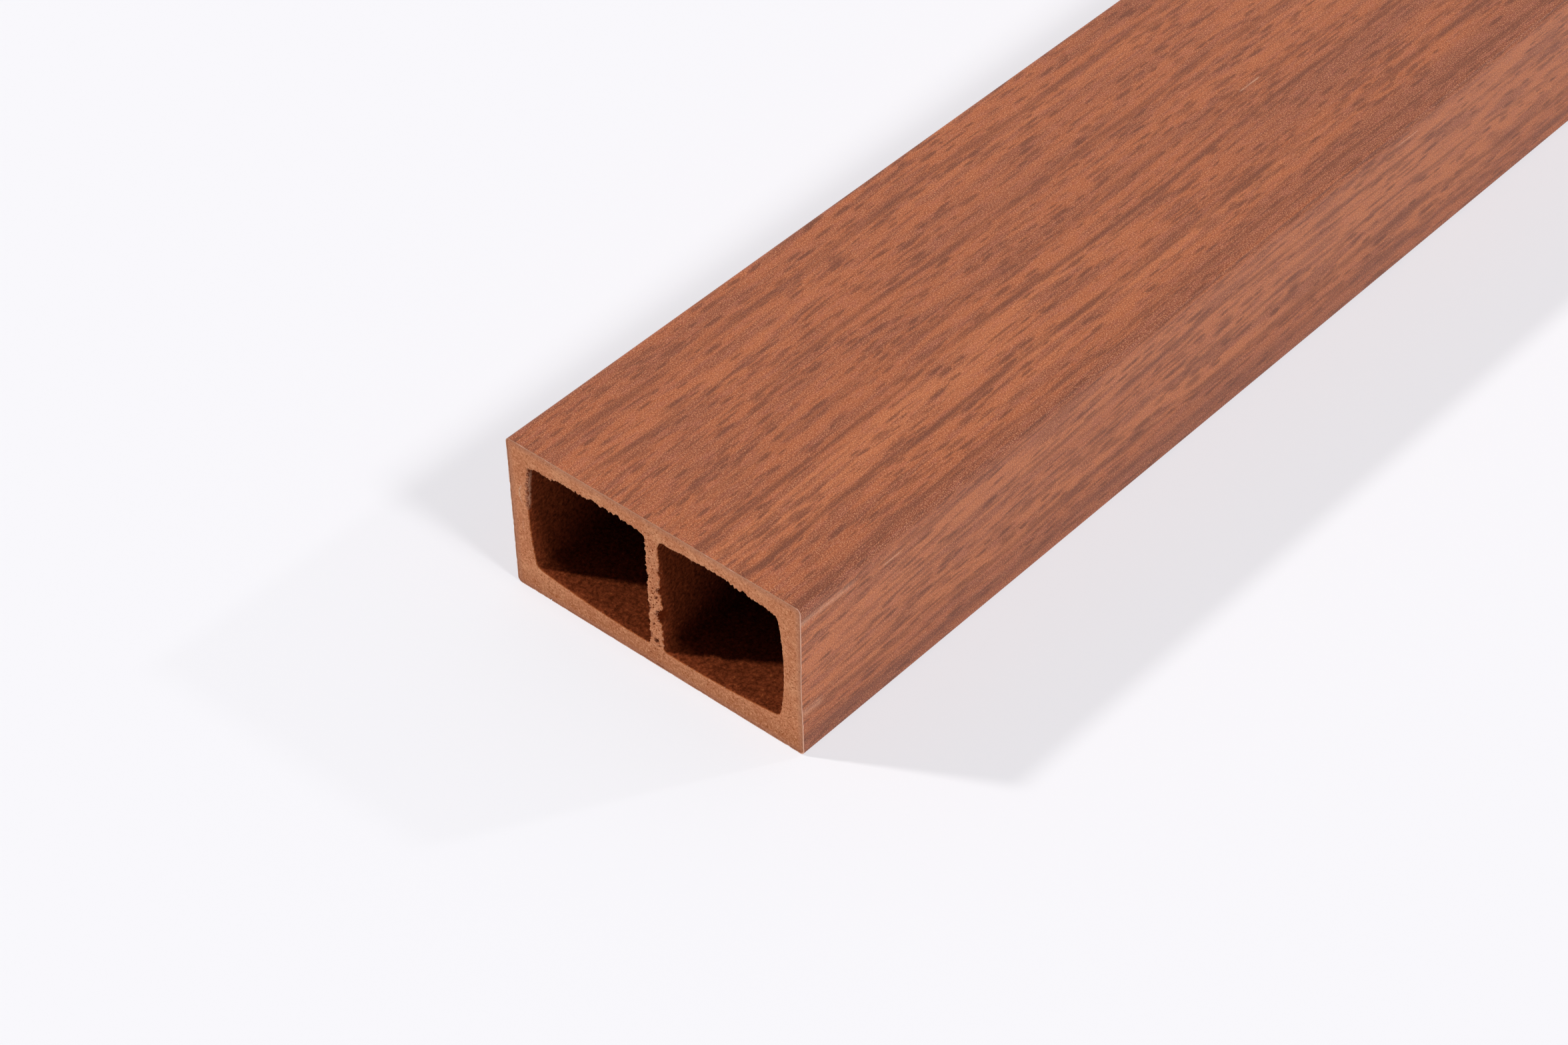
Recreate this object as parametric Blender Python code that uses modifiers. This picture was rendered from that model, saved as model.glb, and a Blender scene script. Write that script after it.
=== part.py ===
# Composite timber tube: a two-chamber profile extruded from foamed wood-plastic
# composite, with a printed wood-grain film bonded round it, sawn square at both ends.
# Metres, +Z up. The length runs along Y, and the origin is the middle of the underside.

import bpy
import bmesh
from math import pi
from mathutils import Vector

# Driving dimensions of the finished tube, outside the film
LENGTH = 2.9
WIDTH = 0.100
HEIGHT = 0.050
ARRIS_RADIUS = 0.0015

# Film, the adhesive under it, and the butt seam on the hidden underside
FILM_THICKNESS = 0.00035
GLUE_LINE = 0.00005
SEAM_GAP = 0.0005
SEAM_FROM_SIDE = 0.012

# Wall thicknesses, each measured from the finished outside to the chamber.
# The side walls are given at the chamber's corners, where they are thickest.
SIDE_WALL = 0.0076
WEB_WALL = 0.0042
CEILING_AT_SIDE = 0.0066
CEILING_AT_WEB = 0.0053
FLOOR_AT_SIDE = 0.0087
FLOOR_AT_WEB = 0.0062

# How far the chamber's sides swell outwards at their middle
SIDE_BOW = 0.0014
CEILING_BOW = 0.0010
FLOOR_BOW = 0.0007

# Fillets in the chamber's corners
SIDE_FILLET = 0.0016
WEB_TOP_FILLET = 0.0020
WEB_FLOOR_FILLET = 0.0012

# Smoothness of the drawn profile: straight pieces between two points of a curve
CURVE_STEPS = 8

# Length of a curve handle that turns a fillet, as a share of its radius
FILLET_HANDLE = 0.5523

# A handle's sideways shift for each unit of bow at a side's middle
BOW_HANDLE = 4 / 3

# Points of an extruded profile closer than this are one point
WELD_DISTANCE = 0.000001

# Colour and roughness of the two materials
FOAM_COLOUR = (0.479, 0.205, 0.105, 1.0)
FOAM_ROUGHNESS = 0.85
FILM_COLOUR = (0.392, 0.143, 0.081, 1.0)
FILM_ROUGHNESS = 0.42


def clear_scene():
    for item in list(bpy.data.objects):
        bpy.data.objects.remove(item, do_unlink=True)


def make_collection(name):
    collection = bpy.data.collections.new(name)
    bpy.context.scene.collection.children.link(collection)
    return collection


def make_material(name, colour, roughness):
    material = bpy.data.materials.new(name)
    material.use_nodes = True
    shader = material.node_tree.nodes["Principled BSDF"]
    shader.inputs["Base Color"].default_value = colour
    shader.inputs["Roughness"].default_value = roughness
    shader.inputs["Metallic"].default_value = 0.0
    material.diffuse_color = colour
    return material


# An outline goes round a section anticlockwise, seen with X to the right and Z up. A corner
# is its place, its fillet radius, and the bow of the side that leaves it for the next one.
def add_outline(curve, corners, closed):
    side_count = len(corners) if closed else len(corners) - 1
    spline = curve.splines.new("BEZIER")
    spline.bezier_points.add(2 * side_count - 1)
    spline.use_cyclic_u = closed
    spline.resolution_u = CURVE_STEPS
    for index in range(side_count):
        corner, radius, bow = corners[index]
        next_corner, next_radius, _ = corners[(index + 1) % len(corners)]
        start, end = Vector(corner), Vector(next_corner)
        along = (end - start).normalized()
        outward = Vector((along.y, -along.x))
        leave = start + along * radius
        arrive = end - along * next_radius
        reach = along * (arrive - leave).length / 3
        swell = outward * bow * BOW_HANDLE
        first, last = spline.bezier_points[2 * index:2 * index + 2]
        set_point(first, leave, leave + reach + swell, radius, leaving=True)
        set_point(last, arrive, arrive - reach + swell, next_radius, leaving=False)


# The handle towards the side is given. The one towards the fillet lies in line with it, so
# that a bowed side runs smoothly into its fillets.
def set_point(point, place, side_handle, radius, leaving):
    tangent = (side_handle - place).normalized()
    fillet_handle = place - tangent * radius * FILLET_HANDLE
    before, after = (fillet_handle, side_handle) if leaving else (side_handle, fillet_handle)
    point.handle_left_type = "FREE"
    point.handle_right_type = "FREE"
    point.co = place.to_3d()
    point.handle_left = before.to_3d()
    point.handle_right = after.to_3d()


# A rectangle that stands inside the finished outline by the same inset all round
def rectangle(inset):
    side = WIDTH / 2 - inset
    low, high = inset, HEIGHT - inset
    radius = ARRIS_RADIUS - inset
    return [
        ((side, low), radius, 0.0),
        ((side, high), radius, 0.0),
        ((-side, high), radius, 0.0),
        ((-side, low), radius, 0.0),
    ]


def right_chamber():
    side = WIDTH / 2 - SIDE_WALL
    web = WEB_WALL / 2
    return [
        ((web, FLOOR_AT_WEB), WEB_FLOOR_FILLET, FLOOR_BOW),
        ((side, FLOOR_AT_SIDE), SIDE_FILLET, SIDE_BOW),
        ((side, HEIGHT - CEILING_AT_SIDE), SIDE_FILLET, CEILING_BOW),
        ((web, HEIGHT - CEILING_AT_WEB), WEB_TOP_FILLET, 0.0),
    ]


# The left chamber mirrors the right one: its corners are taken in the opposite order, so a
# side's bow is read from the corner where the mirrored side ends.
def left_chamber():
    corners = right_chamber()
    mirrored = []
    for index in reversed(range(len(corners))):
        (across, up), radius, _ = corners[index]
        bow = corners[index - 1][2]
        mirrored.append(((-across, up), radius, bow))
    return mirrored


# Draws outlines as one flat profile, extrudes it along Y, and makes it a mesh. A closed
# profile is filled, with the outlines inside the first one as its holes. An open one gives
# a surface.
def extrude_profile(name, outlines, closed, material, collection):
    curve = bpy.data.curves.new(name + "_profile", "CURVE")
    curve.dimensions = "2D"
    curve.fill_mode = "BOTH" if closed else "NONE"
    curve.extrude = LENGTH / 2
    for outline in outlines:
        add_outline(curve, outline, closed)
    drawn = bpy.data.objects.new(name + "_drawn", curve)
    drawn.rotation_euler = (pi / 2, 0.0, 0.0)
    collection.objects.link(drawn)
    bpy.context.view_layer.update()

    evaluated = drawn.evaluated_get(bpy.context.evaluated_depsgraph_get())
    mesh = bpy.data.meshes.new_from_object(evaluated)
    mesh.name = name
    piece = bpy.data.objects.new(name, mesh)
    piece.matrix_world = drawn.matrix_world
    collection.objects.link(piece)
    bpy.data.objects.remove(drawn, do_unlink=True)

    shape = bmesh.new()
    shape.from_mesh(mesh)
    bmesh.ops.remove_doubles(shape, verts=shape.verts, dist=WELD_DISTANCE)
    bmesh.ops.recalc_face_normals(shape, faces=shape.faces)
    shape.to_mesh(mesh)
    shape.free()

    mesh.materials.clear()
    mesh.materials.append(material)
    return piece


def build_tube(collection):
    foam = make_material("foamed_composite", FOAM_COLOUR, FOAM_ROUGHNESS)
    outlines = [rectangle(FILM_THICKNESS + GLUE_LINE), left_chamber(), right_chamber()]
    return extrude_profile("extruded_tube", outlines, True, foam, collection)


# The film wraps the whole outline, from one side of its butt seam round to the other
def build_film(collection):
    seam = SEAM_FROM_SIDE - WIDTH / 2
    seam_start = ((seam + SEAM_GAP / 2, 0.0), 0.0, 0.0)
    seam_end = ((seam - SEAM_GAP / 2, 0.0), 0.0, 0.0)
    outline = [seam_start, *rectangle(0.0), seam_end]
    printed = make_material("printed_film", FILM_COLOUR, FILM_ROUGHNESS)
    film = extrude_profile("wood_grain_film", [outline], False, printed, collection)

    wall = film.modifiers.new("film_thickness", "SOLIDIFY")
    wall.thickness = FILM_THICKNESS
    wall.offset = -1.0
    wall.use_even_offset = True
    wall.use_rim = True
    return film


clear_scene()
timber_tube = make_collection("composite_timber_tube")
build_tube(timber_tube)
build_film(timber_tube)
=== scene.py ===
from itertools import accumulate
from math import ceil, cos, pi, radians, sin

import bmesh
import bpy
import numpy as np
from mathutils import Matrix, Vector, kdtree, noise
from mathutils.geometry import delaunay_2d_cdt


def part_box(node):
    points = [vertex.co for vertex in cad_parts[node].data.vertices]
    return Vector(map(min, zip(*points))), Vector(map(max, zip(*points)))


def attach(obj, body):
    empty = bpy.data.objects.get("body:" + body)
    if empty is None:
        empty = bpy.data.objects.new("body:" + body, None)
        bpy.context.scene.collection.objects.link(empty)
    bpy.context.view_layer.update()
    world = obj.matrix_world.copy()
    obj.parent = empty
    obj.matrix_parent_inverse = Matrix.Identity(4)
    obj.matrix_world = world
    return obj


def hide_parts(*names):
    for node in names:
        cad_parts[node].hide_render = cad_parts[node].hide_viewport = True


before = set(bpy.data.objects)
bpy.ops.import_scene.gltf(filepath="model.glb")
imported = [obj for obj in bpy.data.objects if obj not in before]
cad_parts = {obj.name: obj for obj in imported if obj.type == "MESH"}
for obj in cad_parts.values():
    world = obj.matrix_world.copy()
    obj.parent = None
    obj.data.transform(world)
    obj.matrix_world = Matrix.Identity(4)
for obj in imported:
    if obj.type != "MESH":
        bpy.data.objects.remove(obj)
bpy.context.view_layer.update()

# A piece of hollow composite timber: a tube of foamed wood-plastic, sawn at both ends, and the
# printed film that is wrapped round it. The frame is in metres. The section work below is in
# millimetres: x across, z up, and depth measured into the tube from the sawn end.
mm = 0.001
tubeNode = "extruded_tube"
filmNode = "wood_grain_film"
filmLow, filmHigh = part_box(filmNode)
coreLow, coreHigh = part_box(tubeNode)
halfWidth = (filmHigh.x - filmLow.x) / 2 / mm
height = (filmHigh.z - filmLow.z) / mm
length = (filmHigh.y - filmLow.y) / mm
print("frame loaded:", round(2 * halfWidth), "x", round(height), "x", round(length), "mm")


# Helpers

def toLinear(hexColour):
    parts = [int(hexColour[i:i + 2], 16) / 255 for i in (1, 3, 5)]
    return [c / 12.92 if c <= 0.04045 else ((c + 0.055) / 1.055) ** 2.4 for c in parts] + [1.0]


# the kinds of node used most: each one's own name, and what is set on it
mathKinds = dict(add="ADD", minus="SUBTRACT", times="MULTIPLY", largest="MAXIMUM",
                 size="ABSOLUTE", below="LESS_THAN", above="GREATER_THAN", sine="SINE")
kinds = {name: ("ShaderNodeMath", dict(operation=operation)) for name, operation in mathKinds.items()}
kinds.update(
    ramp=("ShaderNodeMapRange", dict(interpolation_type="SMOOTHSTEP")),  # value, from two, to two
    coat=("ShaderNodeMix", dict(data_type="RGBA")),                      # share, under, over
    noise=("ShaderNodeTexNoise", {}),                                    # place, scale, detail
    flatNoise=("ShaderNodeTexNoise", dict(noise_dimensions="2D")),
    stretch=("ShaderNodeMapping", {}),                                   # place, shift, turn, scale
    vector=("ShaderNodeCombineXYZ", {}),
    apart=("ShaderNodeSeparateXYZ", {}),
    bump=("ShaderNodeBump", {}),                                  # strength, depth, filter, height
    mark=("ShaderNodeAttribute", {}),
)


# adds a node, sets it up, and fills its live inputs in their order; an input may be a value, a
# socket, a node whose first live output is meant, or None to leave it alone
def put(tree, kind, *inputs, **settings):
    idName, usual = kinds.get(kind, (kind, {}))
    made = tree.nodes.new(idName)
    for name, value in {**usual, **settings}.items():
        setattr(made, name, value)
    for socket, value in zip([s for s in made.inputs if s.enabled], inputs):
        if isinstance(value, bpy.types.Node):
            value = next(s for s in value.outputs if s.enabled)
        if isinstance(value, bpy.types.NodeSocket):
            tree.links.new(value, socket)
        elif value is not None:
            socket.default_value = value
    return made


# a material of a look, with its node tree, its shader and its paints as linear colours
def newMaterial(name, look):
    material = bpy.data.materials.new(name)
    material.use_nodes = True
    paint = {part: toLinear(value) for part, value in look.items() if str(value).startswith("#")}
    shader = material.node_tree.nodes["Principled BSDF"]
    shader.inputs["Base Color"].default_value = paint["base"]
    shader.inputs["Roughness"].default_value = look["roughness"]
    shader.inputs["IOR"].default_value = look["ior"]
    shader.inputs["Specular IOR Level"].default_value = look["specular"]
    return material, material.node_tree, shader, paint


# joins a material's colour to its shader, and the relief of a pattern, of a depth in mm
def finishMaterial(tree, shader, colour, pattern=None, strength=0.0, depth=0.0):
    tree.links.new(colour.outputs["Result"], shader.inputs["Base Color"])
    if pattern:
        bump = put(tree, "bump", strength, depth * mm, None, pattern)
        tree.links.new(bump.outputs[0], shader.inputs["Normal"])


# lays coats of colour over each other: each one's pattern, where that starts and is full, the
# coat's share there, and its paint; without a start the coat goes by the pattern itself
def layCoats(tree, colour, paint, patterns, coats):
    for pattern, start, full, share, name in coats:
        if start is None:
            shown = put(tree, "times", patterns[pattern], share)
        else:
            shown = put(tree, "ramp", patterns[pattern], start, full, 0.0, share)
        colour = put(tree, "coat", shown, colour, paint[name])
    return colour


# one value for each point of a mesh, for its material or its Geometry Nodes tree to read
def markPoints(mesh, name, values, kind="FLOAT", slot="value"):
    mesh.attributes.new(name, kind, "POINT").data.foreach_set(slot, values)


# turns all faces outwards, and shades them smooth except across folds sharper than the crease
def finishMesh(name, mesh, shape, crease):
    bmesh.ops.recalc_face_normals(shape, faces=shape.faces)
    shape.to_mesh(mesh)
    shape.free()
    mesh.shade_smooth()
    mesh.set_sharp_from_angle(angle=radians(crease))
    return meshObject(name, mesh)


# a table as dictionaries: the names of its columns, then its rows, which may lack the last ones
def table(columns, *rows):
    return [dict(zip(columns.split(), row)) for row in rows]


# camera and lamps are turned by where they stand: azimuth 0 is in front of the near end,
# 90 is on the +X side, and elevation is above the floor
def turnTo(azimuth, elevation, roll=0.0):
    around = Matrix.Rotation(radians(azimuth), 4, "Z")
    tip = Matrix.Rotation(radians(90 - elevation), 4, "X")
    return around @ tip @ Matrix.Rotation(radians(roll), 4, "Z")


def meshObject(name, mesh):
    made = bpy.data.objects.new(name, mesh)
    bpy.context.scene.collection.objects.link(made)
    return made


def smoothStep(low, high, value):
    t = np.clip((value - low) / (high - low), 0, 1)
    return t * t * (3 - 2 * t)


def noiseAt(points, size, seed):
    shift = Vector((seed * 17.3, seed * 9.1, seed * 5.7))
    return np.array([noise.noise(Vector(p) / size + shift) for p in points])


# Camera, light and floor

camera = dict(
    place=(0.503042, -1.947859, 0.687763),
    azimuth=42.59, elevation=42.13, roll=-1.665,
    lens=88.22, sensor=36.0,
)

# two soft lamps left and right and a small one behind, as the shadows beside the tube tell
lamps = table(
    "name azimuth elevation strength spread colour",
    ("keySoftbox", -61, 42, 1.90, 4.5, "#fffdfa"),
    ("rightSoftbox", 87, 43, 1.57, 11, "#fffefc"),
    ("backLamp", 149, 27, 0.48, 3, "#ffffff"),
)

# the room behind the photographer is darker, so the chambers get little light from it
room = dict(
    skyColour="#f8f9ff", skyStrength=0.36, frontStrength=0.10,
    brightens=(-0.45, 0.25),    # where it grows light, by how far a direction points along the tube
    seenColour="#f7f7fc",
)

# laminated white table top, even and matt; the share that is seen as plain white keeps the
# shadows on it as faint as bright paper shows them
floorLook = dict(base="#f2f2f5", seen="#faf9fe", seenShare=0.56, roughness=0.7, ior=1.5,
                 specular=0.2, half=12.0)


def setCamera():
    data = bpy.data.cameras.new("photoCamera")
    data.lens = camera["lens"]
    data.sensor_width = camera["sensor"]
    data.dof.use_dof = False
    data.clip_start, data.clip_end = 0.01, 100
    made = bpy.data.objects.new("photoCamera", data)
    made.matrix_world = (Matrix.Translation(camera["place"])
                         @ turnTo(camera["azimuth"], camera["elevation"], camera["roll"]))
    bpy.context.scene.collection.objects.link(made)
    bpy.context.scene.camera = made


def setLamps():
    for lamp in lamps:
        data = bpy.data.lights.new(lamp["name"], "SUN")
        data.energy = lamp["strength"]
        data.angle = radians(lamp["spread"])
        data.color = toLinear(lamp["colour"])[:3]
        made = bpy.data.objects.new(lamp["name"], data)
        made.matrix_world = turnTo(lamp["azimuth"], lamp["elevation"])
        bpy.context.scene.collection.objects.link(made)


# 1 for rays that see the background itself, straight or by gloss or through glass
def seenRays(tree):
    rays = put(tree, "ShaderNodeLightPath").outputs
    glossy = put(tree, "largest", rays["Is Camera Ray"], rays["Is Glossy Ray"])
    return put(tree, "largest", glossy, rays["Is Transmission Ray"])


def setRoom():
    world = bpy.data.worlds.new("paleRoom")
    world.use_nodes = True
    bpy.context.scene.world = world
    tree = world.node_tree
    lit = tree.nodes["Background"]
    lit.inputs["Color"].default_value = toLinear(room["skyColour"])
    towards = put(tree, "apart", put(tree, "ShaderNodeTexCoord").outputs["Generated"]).outputs
    strength = put(tree, "ramp", towards["Y"], *room["brightens"], room["frontStrength"],
                   room["skyStrength"])
    tree.links.new(strength.outputs[0], lit.inputs["Strength"])
    seen = put(tree, "ShaderNodeBackground", toLinear(room["seenColour"]))
    both = put(tree, "ShaderNodeMixShader", seenRays(tree), lit, seen)
    tree.links.new(both.outputs[0], tree.nodes["World Output"].inputs["Surface"])


def layFloor():
    material, tree, shader, paint = newMaterial("white melamine table, matt pressed", floorLook)
    plain = put(tree, "ShaderNodeEmission", paint["seen"])
    share = put(tree, "times", seenRays(tree), floorLook["seenShare"])
    both = put(tree, "ShaderNodeMixShader", share, shader, plain)
    tree.links.new(both.outputs[0], tree.nodes["Material Output"].inputs["Surface"])
    half = floorLook["half"]
    mesh = bpy.data.meshes.new("floor")
    mesh.from_pydata([(-half, -half, 0), (half, -half, 0), (half, half, 0), (-half, half, 0)],
                     [], [(0, 1, 2, 3)])
    mesh.materials.append(material)
    meshObject("floor", mesh)


bpy.context.scene.view_settings.view_transform = "Standard"
setCamera()
setLamps()
setRoom()
layFloor()
print("camera, lamps and floor set")


# The section, read from the CAD solid

# closed outlines of a CAD node's near end, each anticlockwise, the largest first
def sectionLoops(nodeName):
    shape = bmesh.new()
    shape.from_mesh(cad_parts[nodeName].data)
    bmesh.ops.remove_doubles(shape, verts=shape.verts, dist=1e-6)
    front = min(v.co.y for v in shape.verts)
    cap = [f for f in shape.faces if all(abs(v.co.y - front) < 1e-6 for v in f.verts)]
    capEdges = [e for face in cap for e in face.edges]
    rim = {e for e in capEdges if capEdges.count(e) == 1}
    following = {}
    for face in cap:
        for loop in face.loops:
            if loop.edge in rim:
                following[loop.vert.index] = loop.link_loop_next.vert.index
    shape.verts.ensure_lookup_table()
    loops = []
    while following:
        start, current = next(iter(following.items()))
        ring = [start]
        del following[start]
        while current != start:
            ring.append(current)
            current = following.pop(current)
        loops.append(np.array([(shape.verts[i].co.x / mm, shape.verts[i].co.z / mm) for i in ring]))
    shape.free()
    loops = [loop if signedArea(loop) > 0 else loop[::-1] for loop in loops]
    return sorted(loops, key=signedArea, reverse=True)


def signedArea(loop):
    x, z = loop.T
    return float((x * np.roll(z, -1) - np.roll(x, -1) * z).sum() / 2)


# evens out values that go round in a ring
def eased(values, passes):
    for _ in range(passes):
        values = (np.roll(values, 1, 0) + 2 * values + np.roll(values, -1, 0)) / 4
    return values


# the loop as evenly spaced points, with the CAD's facets eased away
def evenLoop(loop, step, passes):
    closed = np.vstack([loop, loop[:1]])
    run = runAlong(closed)
    count = int(round(run[-1] / step))
    at = np.arange(count) * run[-1] / count
    return eased(np.stack([np.interp(at, run, closed[:, k]) for k in (0, 1)], 1), passes)


# how far along a line each of its points lies
def runAlong(line):
    return np.concatenate([[0], np.cumsum(np.linalg.norm(np.diff(line, axis=0), axis=1))])


# unit normals that point away from the inside of an anticlockwise loop
def outwardNormals(loop):
    along = np.roll(loop, -1, 0) - np.roll(loop, 1, 0)
    along /= np.linalg.norm(along, axis=1)[:, None]
    return np.stack([along[:, 1], -along[:, 0]], 1)


def insideLoop(points, loop):
    x, z = points[:, 0:1], points[:, 1:2]
    a, b = loop, np.roll(loop, -1, 0)
    spans = (a[:, 1] > z) != (b[:, 1] > z)
    rise = np.where(b[:, 1] == a[:, 1], 1e-9, b[:, 1] - a[:, 1])
    crossing = a[:, 0] + (z - a[:, 1]) * (b[:, 0] - a[:, 0]) / rise
    return (spans & (x < crossing)).sum(1) % 2 == 1


# Printed film

film = dict(
    wall=0.35,                # thickness
    arris=1.5,                # outside radius of the four long arrises
    arcSteps=8,
    seamFromSide=12.0,        # where the two edges of the wrap meet, on the underside
    seamGap=0.5,
    step=1.0,                 # spacing of points round the section
    rows=60,                  # rings along the length
    hollow=0.32,              # how far the right side is drawn in at its middle
    hollowEnds=(4.0, 8.0),    # and how far from its lower and its upper edge it ends
    ripple=0.05,              # unevenness of the flat sides
    rippleWaves=(3.1, 7.7),   # mm to a radian of its waves, up a side and across
    calm=(1.0, 5.0),          # distances from an arris between which the ripple sets in
    chip=0.30,                # how far the saw chipped the film's edge back
    chipSize=0.9, chipLeast=0.12,
    crease=40,                # degrees: sharper folds are seen as edges
)


# how far the wrap lies inside its full outline here; the foam under it shrank most on the
# right side, and the arrises stay where they are
def settled(x, z):
    side = smoothStep(halfWidth - 1.0, halfWidth, x)
    foot, top = film["hollowEnds"]
    middle = np.sin(np.clip((z - foot) / (height - foot - top), 0, 1) * pi) ** 2
    up, across = film["rippleWaves"]
    wave = 0.5 + 0.5 * np.sin(z / up + 1.0) * np.cos(x / across)
    fromArris = np.abs(np.abs(x) - halfWidth) + np.minimum(z, height - z)
    ripple = film["ripple"] * wave * smoothStep(*film["calm"], fromArris)
    return film["hollow"] * side * middle + ripple


# rounded rectangle that stands inside the finished outline, starting at startX on the
# underside and going anticlockwise; the last point is the end of the same turn
def wrapPath(inset, startX, endX):
    radius = film["arris"] - inset
    side, low, high = halfWidth - inset, inset, height - inset
    corners = [(side, low, -90), (side, high, 0), (-side, high, 90), (-side, low, 180)]
    points = [(startX, low)]
    for x, z, turn in corners:
        centre = (x - radius * np.sign(x), z + radius if z == low else z - radius)
        arc = [radians(turn + 90 * k / film["arcSteps"]) for k in range(film["arcSteps"] + 1)]
        corner = [(centre[0] + radius * cos(a), centre[1] + radius * sin(a)) for a in arc]
        points += straight(points[-1], corner[0])[1:] + corner[1:]
    points += straight(points[-1], (endX, low))[1:]
    path = np.array(points)
    move = settled(*path.T)[:, None]
    normal = np.gradient(path, axis=0)
    normal = np.stack([normal[:, 1], -normal[:, 0]], 1)
    normal /= np.linalg.norm(normal, axis=1)[:, None]
    return path - normal * move


def straight(start, end):
    start, end = np.array(start), np.array(end)
    count = max(1, ceil(np.linalg.norm(end - start) / film["step"]))
    return [tuple(start + (end - start) * k / count) for k in range(count + 1)]


# an empty Geometry Nodes tree with named inputs, and the node that gives them
def newTree(name, **given):
    tree = bpy.data.node_groups.new(name, "GeometryNodeTree")
    tree.interface.new_socket("Geometry", in_out="INPUT", socket_type="NodeSocketGeometry")
    for label, kind in given.items():
        tree.interface.new_socket(label, in_out="INPUT", socket_type="NodeSocket" + kind)
    tree.interface.new_socket("Geometry", in_out="OUTPUT", socket_type="NodeSocketGeometry")
    return tree, put(tree, "NodeGroupInput").outputs


# sweeps the wrap's thin closed outline along the tube, and lays the print on it in metres:
# u round the section from the seam, v along the tube from the near end
def makeSweepTree():
    tree, given = newTree("wrapFilmRoundTube", NearEnd="Float", Length="Float", Rings="Int",
                          Film="Material")
    outline = put(tree, "GeometryNodeMeshToCurve", given["Geometry"])
    start = put(tree, "vector", None, given["NearEnd"])
    end = put(tree, "vector", None, put(tree, "add", given["NearEnd"], given["Length"]))
    rail = put(tree, "GeometryNodeCurvePrimitiveLine", start, end)
    rings = put(tree, "GeometryNodeResampleCurve", rail, None, given["Rings"])
    swept = put(tree, "GeometryNodeCurveToMesh", rings, outline)
    around = put(tree, "GeometryNodeInputNamedAttribute", "around", data_type="FLOAT")
    place = put(tree, "apart", put(tree, "GeometryNodeInputPosition")).outputs
    spot = put(tree, "vector", around, put(tree, "minus", place["Y"], given["NearEnd"]))
    mapped = put(tree, "GeometryNodeStoreNamedAttribute", swept, None, "printMap", spot,
                 data_type="FLOAT2", domain="CORNER")
    real = put(tree, "GeometryNodeRealizeInstances", mapped)
    put(tree, "NodeGroupOutput", put(tree, "GeometryNodeSetMaterial", real, None, given["Film"]))
    return tree


# runs a Geometry Nodes tree on a mesh and gives the result as a plain mesh
def grown(name, seedMesh, tree, **values):
    carrier = meshObject(name + "Carrier", seedMesh)
    modifier = carrier.modifiers.new(tree.name, "NODES")
    modifier.node_group = tree
    for socket in tree.interface.items_tree:
        if socket.in_out == "INPUT" and socket.name in values:
            modifier[socket.identifier] = values[socket.name]
    bpy.context.view_layer.update()
    evaluated = carrier.evaluated_get(bpy.context.evaluated_depsgraph_get())
    result = bpy.data.meshes.new_from_object(evaluated)
    carrier.modifiers.remove(modifier)
    bpy.data.objects.remove(carrier)
    result.name = name
    return result


def buildFilm(printed, cutEdge):
    seam = film["seamFromSide"] - halfWidth
    ends = seam + film["seamGap"] / 2, seam - film["seamGap"] / 2
    outer = wrapPath(0.0, *ends)
    ring = np.vstack([outer, wrapPath(film["wall"], *ends)[::-1]])
    half, count = len(outer), len(ring)
    # a swept outline's own Y lies along -Z of the tube
    seedMesh = bpy.data.meshes.new("wrapOutline")
    seedMesh.from_pydata([(x * mm, -z * mm, 0) for x, z in ring],
                         [(i, (i + 1) % count) for i in range(count)], [])
    run = runAlong(outer)
    around = np.concatenate([run, run[::-1]]) * mm
    markPoints(seedMesh, "around", around)
    mesh = grown("wood_grain_wrap", seedMesh, makeSweepTree(),
                 NearEnd=filmLow.y, Length=length * mm, Rings=film["rows"], Film=printed)

    # the cut edges, which the sweep leaves open
    mesh.materials.append(cutEdge)
    shape = bmesh.new()
    shape.from_mesh(mesh)
    layer = shape.loops.layers.uv["printMap"]
    shape.verts.ensure_lookup_table()
    for y, inward in ((filmLow.y, 1), (filmHigh.y, -1)):
        rim = [v for v in shape.verts if abs(v.co.y - y) < 1e-6]
        assert len(rim) == count
        for i in range(half - 1):
            face = shape.faces.new((rim[i], rim[i + 1], rim[count - 2 - i], rim[count - 1 - i]))
            face.material_index = 1
            for loop in face.loops:
                loop[layer].uv = (around[rim.index(loop.vert)], y - filmLow.y)
        for (x, z), vert in zip(ring / film["chipSize"], rim):
            chip = noise.noise(Vector((x, z, inward * 3.0))) - film["chipLeast"]
            vert.co.y += inward * film["chip"] * mm * max(0.0, chip)
    return finishMesh("wood_grain_wrap", mesh, shape, film["crease"])


# Foamed tube

tube = dict(
    gapToFilm=0.01,       # the glued film lies on the foam
    rimStep=0.24,         # spacing of points round a chamber's rim
    facets=16,            # passes that ease the CAD's facets
    crease=50,            # degrees: sharper folds are seen as edges
    inside=9.0,           # points deeper under the tube's skin than this are all the same
)

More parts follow.
